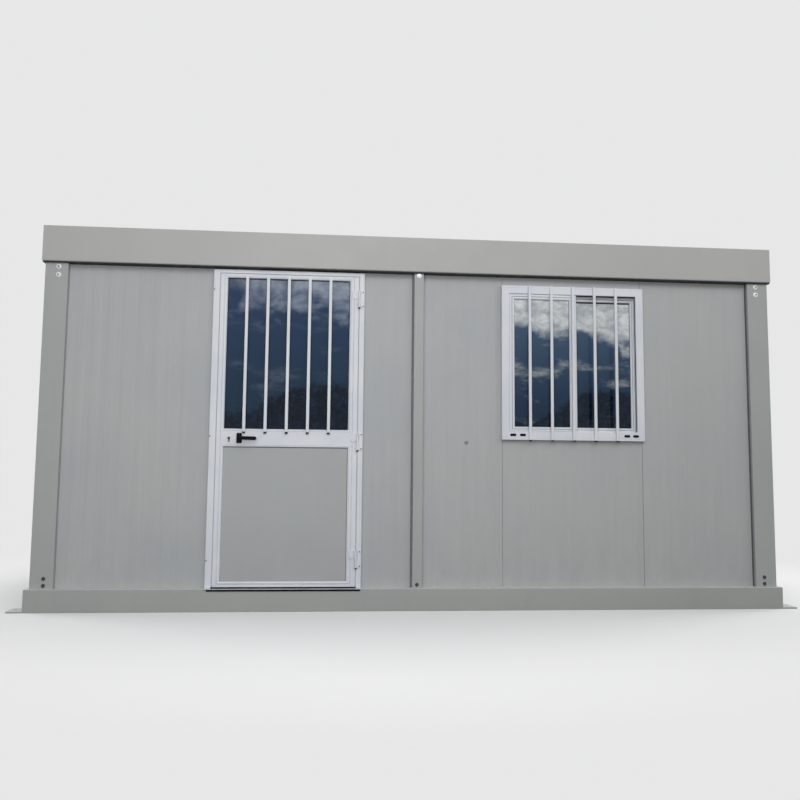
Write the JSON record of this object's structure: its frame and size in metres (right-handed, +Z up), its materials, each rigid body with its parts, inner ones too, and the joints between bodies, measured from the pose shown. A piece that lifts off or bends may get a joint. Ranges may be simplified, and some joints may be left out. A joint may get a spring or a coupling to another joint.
{
  "type": "portable site cabin",
  "caption": "Flat-pack style steel-framed site cabin with insulated grey walls, a barred glazed door that swings outward, and a barred sliding window.",
  "frame": {"origin": "centre of the four anchor holes, at ground level", "axes": "+X along the front from the door end to the window end, -Y out of the front face, +Z up"},
  "size_m": [5.2, 2.4155, 2.5],
  "materials": {
    "grey_paint": "matt coated sheet",
    "frame_paint": "satin paint",
    "primer": "matt primer",
    "timber": "sealed board",
    "black_rubber": "matt",
    "ceiling_skin": "satin coated sheet",
    "galvanised": "galvanised sheet",
    "white_metal": "satin powder coat",
    "mill_aluminium": "worn mill finish",
    "tinted_glass": "polished",
    "black_handle": "satin",
    "cylinder_metal": "satin"
  },
  "bodies": {
    "cabin": {"floor_side_rails": "frame_paint", "floor_end_rails": "frame_paint", "anchor_lugs": "frame_paint", "floor_joists": "primer", "floor_deck": "timber", "corner_posts": "frame_paint", "middle_posts": "frame_paint", "roof_seal": "black_rubber", "roof_side_rails": "frame_paint", "roof_end_rails": "frame_paint", "ceiling_panel": "ceiling_skin", "roof_purlins": "timber", "roof_sheets": "galvanised", "ridge_cap": "galvanised", "front_panel_left": "grey_paint", "front_panel_beside_door": "grey_paint", "front_panel_centre": "grey_paint", "front_panel_under_window": "grey_paint", "front_panel_over_window": "grey_paint", "front_panel_right": "grey_paint", "left_panel_front": "grey_paint", "left_panel_back": "grey_paint", "right_panel_front": "grey_paint", "right_panel_back": "grey_paint", "back_panel_1": "grey_paint", "back_panel_2": "grey_paint", "back_panel_3": "grey_paint", "back_panel_4": "grey_paint", "door_jambs": "white_metal", "door_head": "white_metal", "door_threshold": "mill_aluminium", "hinge_frame_halves": "white_metal", "window_frame": "white_metal", "window_sashes": "white_metal", "window_panes": "tinted_glass", "window_bars": "white_metal"},
    "door": {"door_stiles": "white_metal", "door_rails": "white_metal", "door_glass": "tinted_glass", "door_lower_panel": "grey_paint", "door_bars": "white_metal", "handle_plates": "black_handle", "lock_cylinder": "cylinder_metal", "hinge_leaf_halves": "white_metal"},
    "door_handle": {"lever_handle": "black_handle"}
  },
  "joints": [
    {"name": "door_swing", "type": "hinge", "parent": "cabin", "child": "door", "pos_m": [-0.4125, -1.175, 1], "axis": [0, 0, 1], "range_deg": [0, 165]},
    {"name": "handle_turn", "type": "hinge", "parent": "door", "child": "door_handle", "pos_m": [-1.19, -1.2, 1.117], "axis": [0, 1, 0], "range_deg": [0, 45], "stiffness_Nm_per_rad": 1, "springref_deg": -34.38}
  ]
}
